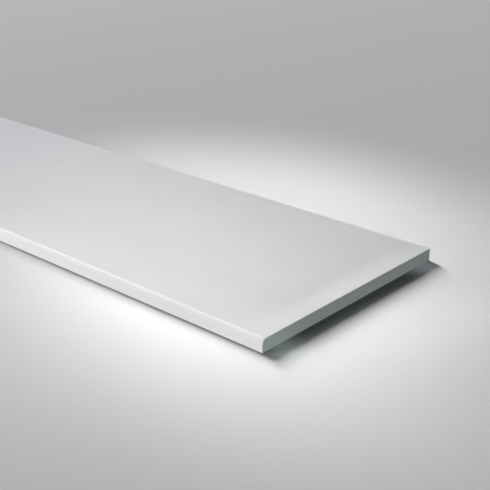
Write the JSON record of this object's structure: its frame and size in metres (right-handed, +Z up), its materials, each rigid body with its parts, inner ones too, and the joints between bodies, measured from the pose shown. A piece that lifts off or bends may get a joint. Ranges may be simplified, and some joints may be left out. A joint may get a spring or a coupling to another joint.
{
  "type": "window sill board",
  "caption": "Plain white interior window sill board: a flat rectangular slab with a rounded top front edge and square sawn ends.",
  "frame": {"origin": "middle of the underside, on the plane that the board is bedded on", "axes": "+X along the board to its right end as seen from the room, +Y from the rounded front edge to the window, +Z up"},
  "size_m": [1.2, 0.4, 0.02],
  "materials": {
    "cast_stone": "satin white gel coat on a cast mineral composite, with sawn matt ends"
  },
  "bodies": {
    "root": {"sill_board": "cast_stone"}
  },
  "joints": []
}
